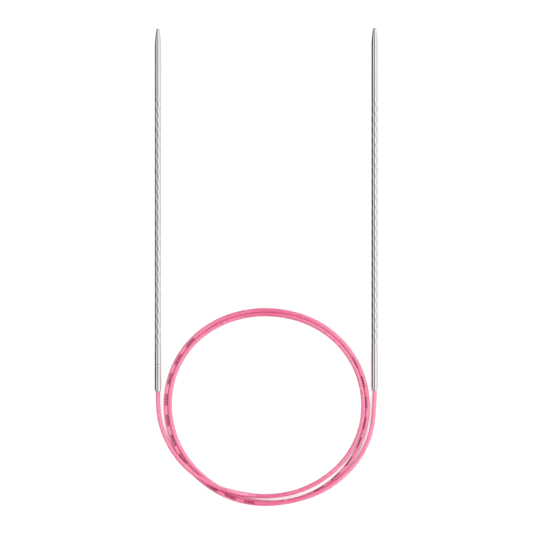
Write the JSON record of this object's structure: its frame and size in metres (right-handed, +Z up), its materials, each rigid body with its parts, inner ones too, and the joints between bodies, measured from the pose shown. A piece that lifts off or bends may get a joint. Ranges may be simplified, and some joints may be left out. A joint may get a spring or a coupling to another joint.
{
  "type": "circular knitting needle",
  "caption": "Slim steel knitting needles with a twisted profile, joined by a coiled flexible plastic cord; the needles swing and lift on the cord.",
  "frame": {"origin": "on the surface the object lies on, below the middle of the two needles", "axes": "+X to the right, +Y along both needles towards their points, +Z up from the surface"},
  "size_m": [0.078, 0.1672, 0.0029],
  "materials": {
    "steel": "polished",
    "pink_plastic": "glossy, slightly translucent, hot pink",
    "clear_glue": "set adhesive, hidden in the sockets"
  },
  "bodies": {
    "cord": {"cord_coil": "pink_plastic", "left_cord_lead": "pink_plastic", "right_cord_lead": "pink_plastic"},
    "left_neck": {"left_cord_neck": "pink_plastic"},
    "left_needle": {"left_needle": "steel", "left_cord_end": "pink_plastic", "left_glue_sleeve": "clear_glue"},
    "right_neck": {"right_cord_neck": "pink_plastic"},
    "right_needle": {"right_needle": "steel", "right_cord_end": "pink_plastic", "right_glue_sleeve": "clear_glue"}
  },
  "joints": [
    {"name": "left_needle_lift", "type": "hinge", "parent": "cord", "child": "left_neck", "pos_m": [-0.03769, -0.07034, 0.0011], "axis": [1, 0, 0], "range_deg": [0, 60], "stiffness_Nm_per_rad": 0.005, "deforming": ["left_cord_lead"]},
    {"name": "left_needle_swing", "type": "hinge", "parent": "left_neck", "child": "left_needle", "pos_m": [-0.0379, -0.06585, 0.0011], "axis": [0, 0, 1], "range_deg": [-13, 60], "stiffness_Nm_per_rad": 0.005, "deforming": ["left_cord_neck"]},
    {"name": "right_needle_lift", "type": "hinge", "parent": "cord", "child": "right_neck", "pos_m": [0.0376, -0.07004, 0.0011], "axis": [1, 0, 0], "range_deg": [0, 60], "stiffness_Nm_per_rad": 0.005, "deforming": ["right_cord_lead"]},
    {"name": "right_needle_swing", "type": "hinge", "parent": "right_neck", "child": "right_needle", "pos_m": [0.03785, -0.06555, 0.0011], "axis": [0, 0, -1], "range_deg": [-13, 60], "stiffness_Nm_per_rad": 0.005, "deforming": ["right_cord_neck"]}
  ]
}
